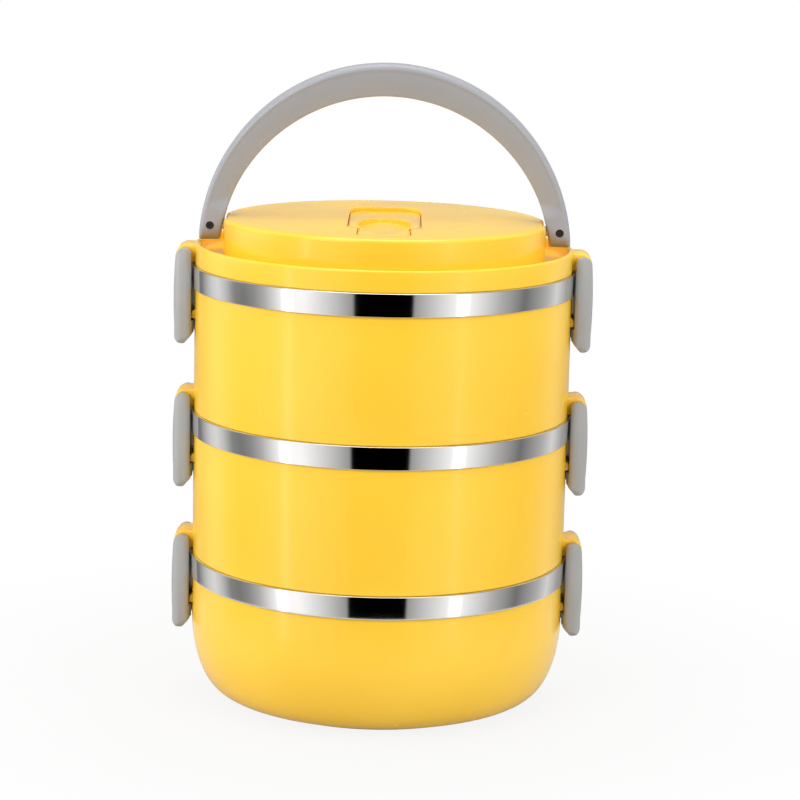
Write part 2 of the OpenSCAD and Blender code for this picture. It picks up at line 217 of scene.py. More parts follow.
def trace(name, points, place):
    """Draw a line of edges through points, each put in space by place, and stay in edit mode."""
    spots = [Vector(place(*p)) * MM for p in points]
    obj = begin(bpy.ops.mesh.primitive_plane_add, name, size=MM)
    bpy.ops.mesh.merge(type="CENTER")
    bpy.ops.transform.translate(value=spots[0])
    for here, there in zip(spots, spots[1:]):
        bpy.ops.mesh.extrude_region_move(TRANSFORM_OT_translate={"value": there - here})
    return obj


def turned(name, points, steps=192):
    """Spin an outline of (radius, height) about the axis of the stack."""
    obj = trace(name, points, lambda r, z: (r, 0, z))
    bpy.ops.mesh.select_all(action="SELECT")
    bpy.ops.mesh.spin(steps=steps, angle=math.tau, center=(0, 0, 0), axis=(0, 0, 1))
    return settle(obj)


PLANES = {
    "front": (lambda x, z: (x, 0, z), Vector((0, 1, 0))),
    "side": (lambda y, z: (0, y, z), Vector((1, 0, 0))),
    "plan": (lambda x, y: (x, y, 0), Vector((0, 0, 1))),
}


def prism(name, points, view, low, high):
    """Fill an outline drawn in a view, and extrude it from low to high along that view's axis."""
    place, axis = PLANES[view]
    obj = trace(name, points, place)
    bpy.ops.mesh.select_all(action="SELECT")
    bpy.ops.mesh.edge_face_add()
    bpy.ops.transform.translate(value=axis * low * MM)
    bpy.ops.mesh.extrude_region_move(TRANSFORM_OT_translate={"value": axis * (high - low) * MM})
    return settle(obj)


def block(name, x, y, z):
    """A box between two places on each axis, in millimetres, to cut or join with."""
    return prism(name, [(x[0], y[0]), (x[1], y[0]), (x[1], y[1]), (x[0], y[1])], "plan", *z)


def rod(name, radius, axis, centre, length, steps=48):
    """A cylinder to cut or join with."""
    turn = {"x": (0, math.pi / 2, 0), "y": (math.pi / 2, 0, 0), "z": (0, 0, 0)}[axis]
    obj = begin(bpy.ops.mesh.primitive_cylinder_add, name, vertices=steps, radius=radius * MM,
                depth=length * MM, location=Vector(centre) * MM, rotation=turn)
    return settle(obj)


def copy_to(obj, name, lift=0, mirror=False):
    """A copy with its own mesh, lifted by some millimetres and mirrored left to right if asked."""
    only(obj)
    bpy.ops.object.duplicate()
    twin = bpy.context.object
    twin.name = twin.data.name = name
    bpy.ops.object.mode_set(mode="EDIT")
    bpy.ops.mesh.select_all(action="SELECT")
    bpy.ops.transform.translate(value=(0, 0, lift * MM))
    if mirror:
        bpy.ops.transform.resize(value=(-1, 1, 1), center_override=(0, 0, 0))
        bpy.ops.mesh.flip_normals()
    return only(twin)


def both_sides(name, make):
    """One object that holds what make(name, side) builds on the left and on the right."""
    left, right = make(name + "_l", -1), make(name + "_r", 1)
    only(right)
    left.select_set(True)
    bpy.ops.object.join()
    right.name = right.data.name = name
    return right


FITTED = {}
REPLACED = set()


def fit(piece, body, slot, *nodes):
    """piece stands for these frame nodes, rides on a body and takes its finish from a slot."""
    FITTED[piece.name] = slot
    REPLACED.update(nodes)
    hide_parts(*nodes)
    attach(piece, body)
    print(piece.name, "faces:", len(piece.data.polygons))
    return piece

# %% [markdown]
# ## Steel bowls
# Each bowl is drawn from thin steel sheet. Its rim turns out over the shell and runs down outside
# it, and that turned part is the polished band between the tiers. A turned outline gives each
# bend its own small radius, so that the band keeps the crisp edges of rolled sheet.

# %% Turn the three steel bowls
BASE_CORNER = 22
TIER_CORNER = 18


def steel_bowl(name, floor_z, corner, height):
    outline = rounded([
        (0, floor_z, 0), (BOWL_R, floor_z, corner), (BOWL_R, height - SHEET, 0.4),
        (BAND_R - SHEET, height - SHEET, 0.2), (BAND_R - SHEET, height - BAND_H, 0),
        (BAND_R, height - BAND_H, 0.25), (BAND_R, height, 0.5), (BOWL_R - SHEET, height, 0.8),
        (BOWL_R - SHEET, floor_z + SHEET, corner - SHEET), (0, floor_z + SHEET, 0)], steps=7)
    bowl = only(turned(name, outline))
    bpy.ops.object.shade_smooth_by_angle(angle=math.radians(30))
    return bowl


base_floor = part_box("base_liner")[0].z / MM
tier_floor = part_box("middle_liner")[0].z / MM - SEAMS["middle"]
base_steel = steel_bowl("base_steel_bowl", base_floor, BASE_CORNER, SEAMS["middle"])
tier_steel = steel_bowl("tier_steel_bowl", tier_floor, TIER_CORNER, TIER_H)
middle_steel = copy_to(tier_steel, "middle_steel_bowl", lift=SEAMS["middle"])
top_steel = copy_to(tier_steel, "top_steel_bowl", lift=SEAMS["top"])
bpy.data.objects.remove(tier_steel)
fit(base_steel, "base", "polished_steel", "base_liner")
fit(middle_steel, "middle_tier", "polished_steel", "middle_liner")
fit(top_steel, "top_tier", "polished_steel", "top_liner")

# %% [markdown]
# ## Ears and catch lugs
# A latch hangs on an ear, a knuckle that stands out from the tier above, and its hook catches
# under a lug on the tier below. The ear is drawn in the front view and extruded, and the lug is a
# short piece of a turned ring, cut out with a box. Both are joined to a shell with a Boolean,
# because the real ones are moulded in one shot with it.

# %% Shape an ear pair and a lug pair
PIN = hinges["lid_latch_right_open"]
PIN_X = PIN.x
PIN_UP = PIN.z - SEAMS["lid"]
PIN_HOLE_R = 1.02
LOOSE_HOLE_R = 1.05
EAR_W = 14
EAR_TOP = 7.3
EAR_OUT = 3.8
EAR_FOOT = 0.35
ROOT = BODY_R - 1.2
SHARP = math.radians(60)
LUG_R = BAND_R + 0.3
LUG_DROP = 21.2
LUG_H = 3.7


def flip_left(obj):
    """Mirror a piece to the left side in place."""
    twin = copy_to(obj, obj.name + "_m", mirror=True)
    bpy.data.objects.remove(obj)
    return only(twin)


def ear(name, side):
    ear_outline = rounded([
        (ROOT, EAR_TOP, 0), (PIN_X + EAR_OUT, EAR_TOP, 4.2), (PIN_X + 3.4, PIN_UP - 3.4, 3.2),
        (PIN_X - 1.4, PIN_UP - 3.7, 1), (BAND_R + 0.5, EAR_FOOT, 0), (ROOT, EAR_FOOT, 0)], steps=7)
    knuckle = prism(name, ear_outline, "front", -EAR_W / 2, EAR_W / 2)
    modify(knuckle, "BEVEL", width=0.7 * MM, segments=4, limit_method="ANGLE", angle_limit=SHARP)
    return knuckle if side > 0 else flip_left(knuckle)


def lug(name, side):
    outline = rounded([
        (BODY_R - 1, -LUG_DROP, 0), (LUG_R, -LUG_DROP, 0.2), (LUG_R, -LUG_DROP + 2.4, 0.5),
        (BODY_R, -LUG_DROP + LUG_H, 0), (BODY_R - 1, -LUG_DROP + LUG_H, 0)], steps=3)
    ring = turned(name, closed(outline), steps=240)
    near = (40, 90) if side > 0 else (-90, -40)
    return cut(ring, block("lug_window", near, (-10, 10), (-40, 10)), "INTERSECT")


def ear_bore(name, side):
    return rod(name, PIN_HOLE_R, "y", (side * PIN_X, 0, PIN_UP), EAR_W + 4, steps=24)


ears = cut(both_sides("ears", ear), both_sides("ear_bores", ear_bore))
lugs = both_sides("lugs", lug)
print("ear stands out to", round(PIN_X + EAR_OUT, 1), "mm, lug to", LUG_R, "mm")

# %% [markdown]
# ## Plastic shells
# The base bowl's shell curves in to a narrow foot ring. Its curve is a quarter of an ellipse,
# which keeps the side upright for long and then turns under quickly, as the real bowl does. The
# two upper tiers share one shape, a straight wall whose stepped bottom seats on the rim below, so
# it is modelled once and copied.

# %% Turn the base shell
CURVE_TOP = 32.6
CURVE_IN = 13
FOOT_H = 2.7
FOOT_R = 55


def bowl_curve(inset, steps=22):
    """The wall's curve from the bottom up, moved in by a thickness."""
    turn = [math.pi / 2 * k / steps for k in range(steps, -1, -1)]
    return [(BODY_R - CURVE_IN + (CURVE_IN - inset) * math.cos(a),
             CURVE_TOP - (CURVE_TOP - FOOT_H - inset) * math.sin(a)) for a in turn]


rim_z = SEAMS["middle"] - SHEET
foot = rounded([(0, FOOT_H - 1, 0), (FOOT_R - 4, FOOT_H - 1, 0.5), (FOOT_R - 4, 0, 0.8), (FOOT_R, 0, 1.1),
                (FOOT_R + 0.3, FOOT_H - 0.1, 0.5), (FOOT_R + 2, FOOT_H, 0)])
wall_top = rounded([(BODY_R, 50, 0), (BODY_R, rim_z, 0.3), (BODY_R - WALL, rim_z, 0.3),
                    (BODY_R - WALL, 40, 0)])
inside = bowl_curve(WALL)[::-1] + [(0, FOOT_H + WALL)]
base_shell = turned("base_bowl_shell", foot + bowl_curve(0) + wall_top + inside)
cut(base_shell, copy_to(lugs, "base_lugs", lift=SEAMS["middle"]), "UNION")
soften(base_shell, 0.15, angle=50)
fit(base_shell, "base", "yellow_plastic", "base_shell")

# %% Turn the shell of an upper tier, and copy it
tier_outline = rounded([
    (0, -PLUG_H, 0), (PLUG_R, -PLUG_H, 1), (PLUG_R, 0, 0.15), (BODY_R, 0, 0.6), (BODY_R, TIER_H - SHEET, 0.3),
    (BODY_R - WALL, TIER_H - SHEET, 0.3), (BODY_R - WALL, WALL, 0.8), (PLUG_R - WALL, WALL, 0.5),
    (PLUG_R - WALL, WALL - PLUG_H, 0.5), (0, WALL - PLUG_H, 0)])
tier_shell = turned("tier_shell", tier_outline)
cut(tier_shell, copy_to(ears, "tier_ears"), "UNION")
cut(tier_shell, copy_to(lugs, "tier_lugs", lift=TIER_H), "UNION")
soften(tier_shell, 0.15, angle=50)
middle_shell = copy_to(tier_shell, "middle_tier_shell", lift=SEAMS["middle"])
top_shell = copy_to(tier_shell, "top_tier_shell", lift=SEAMS["top"])
for spare in (tier_shell, lugs):
    bpy.data.objects.remove(spare)
fit(middle_shell, "middle_tier", "yellow_plastic", "middle_shell")
fit(top_shell, "top_tier", "yellow_plastic", "top_shell")

# %% [markdown]
# ## Lid cover
# The lid's flange ends in a rounded rim, then a groove, then a raised and slightly domed centre.
# The section is turned in one piece. What isn't round is added and cut after that: the tray and
# pocket of the vent lever, and the recesses and bosses that carry the handle.

# %% Turn the lid's section
FLANGE_H = 8.3
RIM_W = 2
GROOVE_Z = 4
PLATEAU_R = 63.3
PLATEAU_H = 18.3
DOME_RISE = 1.7
EDGE_R = 1.5


def dome_z(radius):
    """The height of the crowned top at a radius."""
    return PLATEAU_H + DOME_RISE * (1 - (radius / PLATEAU_R) ** 2)


def dome(drop, edge=61.6, steps=12):
    """The top's crown from its edge to the centre."""
    return [(edge * k / steps, dome_z(edge * k / steps) - drop) for k in range(steps, -1, -1)]


lid_outline = (
    rounded([(BODY_R - WALL, 0, 0.3), (BODY_R, 0, 0.5), (BODY_R, FLANGE_H, 0.95),
             (BODY_R - RIM_W, FLANGE_H, 0.95), (BODY_R - RIM_W, GROOVE_Z, 0.8), (PLATEAU_R, GROOVE_Z, 0.8),
             (PLATEAU_R, 12, 0)], steps=7)
    + arc(PLATEAU_R - EDGE_R, PLATEAU_H - EDGE_R + 0.05, EDGE_R, 0, 84, 7) + dome(0)
    + dome(WALL, PLATEAU_R - WALL - 1)[::-1]
    + rounded([(PLATEAU_R - WALL, PLATEAU_H - WALL - 1, 0), (PLATEAU_R - WALL, 2, 0.3),
               (BODY_R - WALL, 2, 0.3), (BODY_R - WALL, 0.5, 0)]))
lid = turned("lid_moulding", closed(lid_outline))
print("lid section points:", len(lid_outline))

# %% [markdown]
# ## Vent pocket and handle recesses
# The lever's outline is drawn once. Grown by a gap it is the pocket, and grown by a wall as well
# it is the tray under it. A rest under the tab closes the pocket's front. The handle's legs swing
# through a flat recess at each end, round a short boss.

# %% Add the tray, cut the pocket and the recesses
AXLE = hinges["vent_lift"]
LEVER_W = 26.2
TAB_W = 18.4
HEEL_R = 2.5
LEVER_REAR = AXLE.y + HEEL_R
SHOULDER = -33
TAB_END = -54.6
TAB_FIT = 0.3
LEVER_GAP = 1
CORNER_X, CORNER_Y = 6, 14
CORNER_STEPS = 14
TRAY_WALL = 1.8
AXLE_UP = AXLE.z - SEAMS["lid"]
POCKET_Z = AXLE_UP - 3
STEAM_Y = -6
STEAM_R = BOSS_R = 3.2
PIVOT_UP = hinges["handle_swing"].z - SEAMS["lid"]
RECESS_X = PLATEAU_R - 2.1
RECESS_W = 19
ABOVE = 40


def lever_outline(grow, front):
    """The lever from above, grown on all sides, with rounded front corners and elliptical back ones."""
    half, tab = LEVER_W / 2 + grow, TAB_W / 2 + grow
    rear = LEVER_REAR + grow
    front_half = rounded([(0, front - grow, 0), (tab, front - grow, 3 + grow), (tab, SHOULDER - 4, 1.5),
                          (half, SHOULDER, 1.5), (half, 0, 0)])[:-1]
    angles = [math.pi / 2 * k / CORNER_STEPS for k in range(CORNER_STEPS + 1)]
    back_half = [(half - CORNER_X + CORNER_X * math.cos(a), rear - CORNER_Y + CORNER_Y * math.sin(a))
                 for a in angles]
    side = front_half + back_half
    return side + [(-x, y) for x, y in side[:0:-1]]


def recess(name, side):
    edges = sorted((side * RECESS_X, side * (PLATEAU_R + 0.4)))
    return block(name, edges, (-RECESS_W / 2, RECESS_W / 2), (GROOVE_Z, ABOVE))


def recess_wall(name, side):
    edges = sorted((side * (RECESS_X - WALL), side * (RECESS_X + 0.6)))
    half = RECESS_W / 2 + WALL
    return block(name, edges, (-half, half), (2.5, PLATEAU_H - 0.8))


def boss(name, side):
    return rod(name, BOSS_R, "x", (side * (RECESS_X - 0.2), 0, PIVOT_UP), 2)


def pin_hole(name, side):
    return rod(name, 2.02, "x", (side * (PLATEAU_R - 1), 0, PIVOT_UP), 10)


tray_outline = lever_outline(LEVER_GAP + TRAY_WALL, TAB_END + TAB_FIT)
tray = prism("tray", tray_outline, "plan", POCKET_Z - TRAY_WALL, PLATEAU_H - 1)
pocket = prism("pocket", lever_outline(LEVER_GAP, TAB_END + TAB_FIT), "plan", POCKET_Z, ABOVE)
rest_half = TAB_W / 2 + 1.5
tab_rest = block("tab_rest", (-rest_half, rest_half), (TAB_END - 1.5, -42), (POCKET_Z - 1, dome_z(0) - 3.5))
cut(lid, tray, "UNION")
cut(lid, both_sides("recess_walls", recess_wall), "UNION")
cut(lid, pocket)
cut(lid, tab_rest, "UNION")
cut(lid, both_sides("recesses", recess))
cut(lid, both_sides("bosses", boss), "UNION")
cut(lid, both_sides("pin_holes", pin_hole))
cut(lid, rod("lever_pin_hole", PIN_HOLE_R, "x", (0, AXLE.y, AXLE_UP), LEVER_W + 4, steps=24))
cut(lid, rod("steam_hole", STEAM_R, "z", (0, STEAM_Y, 10), 20))
cut(lid, ears, "UNION")
soften(lid, 0.3, angle=50)
lid = copy_to(lid, "lid_top_cover", lift=SEAMS["lid"])
bpy.data.objects.remove(bpy.data.objects["lid_moulding"])
fit(lid, "lid", "yellow_plastic", "lid_cover")

# %% [markdown]
# ## Vent lever
# The lever fills its pocket, flush with the dome at its tab and a little lower towards its hinge.
# A long dish takes a fingertip: its floor starts just under the dome at the front and sinks
# towards a steep back. The outline is extruded, and a skirt below the surface narrows the gap to
# the pocket. Both are kept to the side view that rounds the heel about the hinge, and cut to the
# dome. Then the back is lowered, and an oval with a sloping floor cuts the dish.

# %% Shape the vent lever
UNDER = dome_z(0) - 3
FLUSH = 0.05
SKIRT_GAP = 0.3
SKIRT_DROP = 1.5
DISH_FRONT, DISH_BACK = -49, -6
DISH_HALF_W = 10.2
DISH_EDGE = 0.5
DISH_DEEP = 2.2
DISH_POINTS = 64
BACK_DROP = 1.2
TOOL_HALF = 20


def blend(low, high, value):
    """0 below low, 1 above high, with a soft start and end."""
    t = min(1, max(0, (value - low) / (high - low)))
    return t * t * (3 - 2 * t)


def side_tool(name, points):
    """A prism of a side view, wider than the lever."""
    return prism(name, points, "side", -TOOL_HALF, TOOL_HALF)


lever = prism("lever_blank", lever_outline(0, TAB_END), "plan", AXLE_UP - HEEL_R, 24)
skirt_outline = lever_outline(LEVER_GAP - SKIRT_GAP, TAB_END + 2 * TAB_FIT)
cut(lever, prism("lever_skirt", skirt_outline, "plan", AXLE_UP - HEEL_R, dome_z(0) - SKIRT_DROP), "UNION")
heel = [(TAB_END - 2, 30), (TAB_END - 2, UNDER), (AXLE.y - 4, UNDER)]
heel += arc(AXLE.y, AXLE_UP, HEEL_R, -120, 60, 12) + [(AXLE.y, 30)]
cut(lever, side_tool("lever_side", heel), "INTERSECT")
crown = turned("crown", [(0, 0)] + [(PLATEAU_R, 0)] + dome(FLUSH, PLATEAU_R), steps=96)
cut(lever, crown, "INTERSECT")
back_line = [(y, dome_z(y) - FLUSH - BACK_DROP * blend(-36, 14, y)) for y in range(-40, 29, 2)]
back_line[0] = (-40, dome_z(40) + 0.3)
cut(lever, side_tool("back_drop", back_line + [(28, 30), (-40, 30)]))
mid_y = (DISH_FRONT + DISH_BACK) / 2
angles = [math.tau * k / DISH_POINTS for k in range(DISH_POINTS)]
oval = [(DISH_HALF_W * math.cos(a), mid_y + (DISH_BACK - mid_y) * math.sin(a)) for a in angles]
dish = prism("dish", oval, "plan", 10, 28)
floor_line = [(y, dome_z(y) - DISH_EDGE - (DISH_DEEP - DISH_EDGE) * blend(DISH_FRONT, DISH_BACK - 6, y))
              for y in range(-56, 5, 3)]
cut(dish, side_tool("dish_floor", floor_line + [(4, ABOVE), (-56, ABOVE)]), "INTERSECT")
cut(lever, dish)
cut(lever, rod("lever_bore", LOOSE_HOLE_R, "x", (0, AXLE.y, AXLE_UP), 40, steps=24))
soften(lever, 0.6, segments=4, angle=35)
lever = copy_to(lever, "vent_flap", lift=SEAMS["lid"])
bpy.data.objects.remove(bpy.data.objects["lever_blank"])
fit(lever, "vent", "yellow_plastic", "vent_lever")

# %% [markdown]
# ## Latches
# A latch is a thick moulded clip. Seen from the front of the carrier it has a round top about its
# hinge, a face that swells a little, and a round tip, with a hook behind. From above its outer
# corners are well rounded and its hook is narrower, and seen end-on its lower corners are round
# too. Three views are drawn and the latch is what they share. The inner face is then cut to the
# round of the bands, and a slot makes room for the ear.

# %% Shape one latch and copy it to its six places
LATCH_W = 26
LATCH_DROP = 34
TOP_R = 3.4
SWELL = 0.7
TIP_R = 3
LOWER_R = 5
HOOK_HALF_W = 9
HOOK_BACK = 74.4
HOOK_R = LUG_R - 0.9
HOOK_TOP = LUG_DROP + 0.9
SLOT_GAP = 0.4
ROUND_STEPS = 360
half_w = LATCH_W / 2
low = PIN_UP - LATCH_DROP
face = [(PIN_X + TOP_R + SWELL * math.sin(math.pi * k / 8), PIN_UP - (LATCH_DROP - 3) * k / 8)
        for k in range(1, 8)]
hook = rounded([(PIN_X, low + 1, 0), (HOOK_R + 1.1, low + 2.4, 0.8), (HOOK_R - 2.2, -HOOK_TOP - 2.5, 0),
                (HOOK_R - 2.2, -HOOK_TOP + 1, 0), (PIN_X - TOP_R - 2, -HOOK_TOP + 1, 0),
                (PIN_X - TOP_R - 2, PIN_UP - 4, 0)])[1:]
tip = arc(PIN_X + TOP_R - 2.7, low + TIP_R, TIP_R, 0, -110, 9)
front_view = arc(PIN_X, PIN_UP, TOP_R, 180, 10, 14) + face + tip + hook
latch = prism("latch_master", front_view, "front", -half_w, half_w)
plan_side = [(60, HOOK_HALF_W, 0), (HOOK_BACK, HOOK_HALF_W, 0), (HOOK_BACK, half_w, 1.9),
             (PIN_X + TOP_R + 0.75, half_w, 5.3)]
plan_view = rounded(plan_side + [(x, -y, radius) for x, y, radius in plan_side[::-1]], steps=9)
cut(latch, prism("latch_plan", plan_view, "plan", -60, 30), "INTERSECT")
cut(latch, rod("inner_round", LUG_R + 0.4, "z", (0, 0, 50 - HOOK_TOP), 100, steps=ROUND_STEPS))
cut(latch, rod("hook_round", HOOK_R, "z", (0, 0, 0), 200, steps=ROUND_STEPS))
end_view = rounded([(-half_w, low - 1, LOWER_R), (half_w, low - 1, LOWER_R), (half_w, 20, 0),
                    (-half_w, 20, 0)], steps=8)
cut(latch, prism("latch_ends", end_view, "side", 60, 90), "INTERSECT")
slot_floor = PIN_UP - 5.2
slot_half = EAR_W / 2 + SLOT_GAP
cut(latch, block("slot", (60, 90), (-slot_half, slot_half), (slot_floor, ABOVE)))
cut(latch, rod("pin_bore", LOOSE_HOLE_R, "y", (PIN_X, 0, PIN_UP), EAR_W + 8, steps=24))
soften(latch, 0.5, segments=3, angle=35, slivers=0)
for tier, seam in SEAMS.items():
    for side in ("left", "right"):
        name = f"{tier}_latch_{side}"
        clip = copy_to(latch, name + "_clip", lift=seam, mirror=side == "left")
        fit(clip, name, "grey_plastic", name)
bpy.data.objects.remove(latch)

# %% [markdown]
# ## Handle
# The arch is thicker at the top than at its ends, because its outer and inner arcs have different
# centres. A narrow strip along its outer edge has the full depth. Its faces start a fine step
# below that strip and slope in to a thin inner edge, and a slanted step above the pads ends the
# slope. A rounded section is spun through half a turn, and each point then moves to its place
# between the two arcs.

# %% Spin the handle's section
PIVOT = hinges["handle_swing"]
OUTER_R = 72.7
OUTER_Z = SEAMS["lid"] + 6.2
INNER_R = 65
INNER_Z = SEAMS["lid"] + 1.3
PAD_R = 6.1
FACE_HALF = 5.55
EDGE_HALF = 2.8
IN, OUT = 60, 70
IN_CORNER, OUT_CORNER = 0.9, 2.3
POINT_STEP = 0.36
section = rounded([(IN, -PAD_R, IN_CORNER), (OUT, -PAD_R, OUT_CORNER), (OUT, PAD_R, OUT_CORNER),
                   (IN, PAD_R, IN_CORNER)], steps=7)
fine = []
for here, there in zip(section, closed(section)[1:]):
    parts = max(1, round(math.dist(here, there) / POINT_STEP))
    fine += [tuple(Vector(here).lerp(Vector(there), k / parts)) for k in range(parts)]
arch = trace("carrying_handle", closed(fine), lambda r, y: (-r, y, 0))
bpy.ops.mesh.select_all(action="SELECT")
bpy.ops.mesh.remove_doubles(threshold=TOUCHING)
bpy.ops.mesh.edge_face_add()
bpy.ops.mesh.spin(steps=360, angle=-math.pi, center=(0, 0, 0), axis=(0, 1, 0))
settle(arch)
if max(v.co.z for v in arch.data.vertices) < 0.01:
    raise RuntimeError("the section was spun downwards")
print("arch vertices:", len(arch.data.vertices))

# %% [markdown]
# ## Move each point to the real arcs
# A point's turn along the arch picks one spot on the inner arc and one on the outer, and the
# point goes between them. The last tenth of each leg follows the round of the pad about the hinge
# pin. One formula gives the depth: full at the rim and on the pad, less on the faces, and least
# at the inner edge.

# %% Shape the arch, its slopes and its pads
END = 0.1
STEP_AT = PIVOT.z + 8.3
STEP_SOFT = 1.3
STEP_FAN = 2.2
BOTTOM_R = 0.9
SLOPE_SPAN = (-0.45, 0.76)
STRIP_SPAN = (0.75, 0.81)


def on_arc(radius, centre_z, height):
    """The angle from the top at which an arc reaches a height."""
    return math.acos((height - centre_z) / radius)


def shape_point(co):
    """Where a point of the plain half ring goes on the real arch."""
    side = -1 if co.x < 0 else 1
    turn = math.atan2(abs(co.x), co.z) / (math.pi / 2)
    across = (math.hypot(co.x, co.z) / MM - IN) / (OUT - IN)
    if turn <= 1 - END:
        share = turn / (1 - END)
        outer = share * on_arc(OUTER_R, OUTER_Z, PIVOT.z)
        inner = share * on_arc(INNER_R, INNER_Z, PIVOT.z)
    else:
        drop = PAD_R * math.sin((turn - 1 + END) / END * math.pi / 2)
        outer = on_arc(OUTER_R, OUTER_Z, PIVOT.z - drop)
        inner = on_arc(INNER_R, INNER_Z, PIVOT.z - drop)
    rim = Vector((OUTER_R * math.sin(outer), OUTER_Z + OUTER_R * math.cos(outer)))
    edge = Vector((INNER_R * math.sin(inner), INNER_Z + INNER_R * math.cos(inner)))
    spot = edge.lerp(rim, across)
    drop = max(0, PIVOT.z - spot.y)
    left = PAD_R - drop
    if left < BOTTOM_R:
        tuck = BOTTOM_R - math.sqrt(max(0, BOTTOM_R ** 2 - (BOTTOM_R - left) ** 2))
        spot.x += tuck * (1 - 2 * across)
    slope = EDGE_HALF + (FACE_HALF - EDGE_HALF) * blend(*SLOPE_SPAN, across)
    slope += (PAD_R - FACE_HALF) * blend(*STRIP_SPAN, across)
    reach = STEP_SOFT + STEP_FAN * (1 - across)
    half = slope + (PAD_R - slope) * (1 - blend(STEP_AT - reach, STEP_AT + reach, spot.y))
    half *= math.sqrt(max(0, 1 - (drop / PAD_R) ** 2))
    return Vector((side * spot.x, co.y / MM / PAD_R * half, spot.y)) * MM


for vertex in arch.data.vertices:
    vertex.co = shape_point(vertex.co)
bpy.ops.object.mode_set(mode="EDIT")
settle(arch)
print("arch top", round(max(v.co.z for v in arch.data.vertices) / MM, 2), "mm")

# %% [markdown]
# ## Screw holes and pin bores
# A screw goes in from the front of each pad and runs in a groove of the hinge pin, which stops
# the handle from coming off. The holes are cut after the arch has its shape, and their mouths get
# a small radius.

# %% Cut the holes and soften their mouths
PAD_MID = (math.sqrt(INNER_R ** 2 - (PIVOT.z - INNER_Z) ** 2) + OUTER_R) / 2
PIVOT_HOLE_R = 2.05
MOUTH_R = 1.6
RUN_R = 1.02


def pad_bore(name, side):
    return rod(name, PIVOT_HOLE_R, "x", (side * (PAD_MID - 3), 0, PIVOT.z), 11.3)


def screw_mouth(name, side):
    return rod(name, MOUTH_R, "y", (side * PAD_MID, -PAD_R, PIVOT.z), 4.2)


def screw_run(name, side):
    return rod(name, RUN_R, "y", (side * PAD_MID, -PAD_R, PIVOT.z), 10)


for make in (pad_bore, screw_mouth, screw_run):
    cut(arch, both_sides(make.__name__ + "s", make))
soften(arch, 0.22, angle=45, slivers=0)
fit(arch, "handle", "grey_plastic", "handle")

# %% [markdown]
# ## Screws
# Small pan-head screws with a cross recess. A cylinder gets a domed head by bevelling its edge, a
# thinner cylinder is joined to its back as the shank, and two crossed bars cut the recess.

# %% Make the two screws
SCREW_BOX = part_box("handle_screws")
HEAD_Y = SCREW_BOX[0].y / MM
SHANK_END = SCREW_BOX[1].y / MM
HEAD_R, HEAD_H = 1.48, 1.4
SHANK_R = 0.98
CROSS_LONG, CROSS_THIN, CROSS_DEEP = 0.95, 0.2, 0.75


def screw(name, side):
    at_x = side * PAD_MID
    head = rod(name, HEAD_R, "y", (at_x, HEAD_Y + 0.7, PIVOT.z), HEAD_H, steps=40)
    modify(head, "BEVEL", width=0.45 * MM, segments=4, limit_method="ANGLE", angle_limit=SHARP)
    shank = rod("shank", SHANK_R, "y", (at_x, (HEAD_Y + 0.6 + SHANK_END) / 2, PIVOT.z),
                SHANK_END - HEAD_Y - 0.6, steps=24)
    cut(head, shank, "UNION")
    for across, up in ((CROSS_LONG, CROSS_THIN), (CROSS_THIN, CROSS_LONG)):
        cut(head, block("cross", (at_x - across, at_x + across), (HEAD_Y - 1, HEAD_Y + CROSS_DEEP),
                        (PIVOT.z - up, PIVOT.z + up)))
    return head


screws = both_sides("handle_retaining_screws", screw)
soften(screws, 0.06, angle=40)
fit(screws, "handle", "dark_screw", "handle_screws")

# %% [markdown]
# ## Writing materials as sums
# A finish is mostly arithmetic on masks: more roughness here, a darker tint there. `Line` wraps
# one output of a node, so that `0.2 + 0.1 * smudge` builds its Math nodes itself. `Shading` holds
# a node tree and has one method that makes every other node, with its settings first and then
# what goes into its sockets. `Finish` is the shading of a piece.

# %% Define Line, Shading and Finish
class Line:
    """The output of a node, which can be added, multiplied and so on."""

    def __init__(self, shading, socket):
        self.shading, self.socket = shading, socket

    def __add__(self, other):
        return self.shading.maths("ADD", self, other)

    def __sub__(self, other):
        return self.shading.maths("SUBTRACT", self, other)

    def __rsub__(self, other):
        return self.shading.maths("SUBTRACT", other, self)

    def __mul__(self, other):
        return self.shading.maths("MULTIPLY", self, other)

    def __truediv__(self, other):
        return self.shading.maths("DIVIDE", self, other)

    def __rtruediv__(self, other):
        return self.shading.maths("DIVIDE", other, self)

    __radd__ = __add__
    __rmul__ = __mul__

    def clamped(self):
        return self.shading.maths("ADD", self, 0, clamp=True)

    def output(self, name):
        """Another output of the same node."""
        return Line(self.shading, self.socket.node.outputs[name])


def set_stops(ramp, stops):
    """Give a colour ramp its stops, each a place and a colour."""
    marks = ramp.elements
    while len(marks) > 1:
        marks.remove(marks[-1])
    for k, (place, colour) in enumerate(stops):
        mark = marks[0] if k == 0 else marks.new(place)
        mark.position, mark.color = place, colour


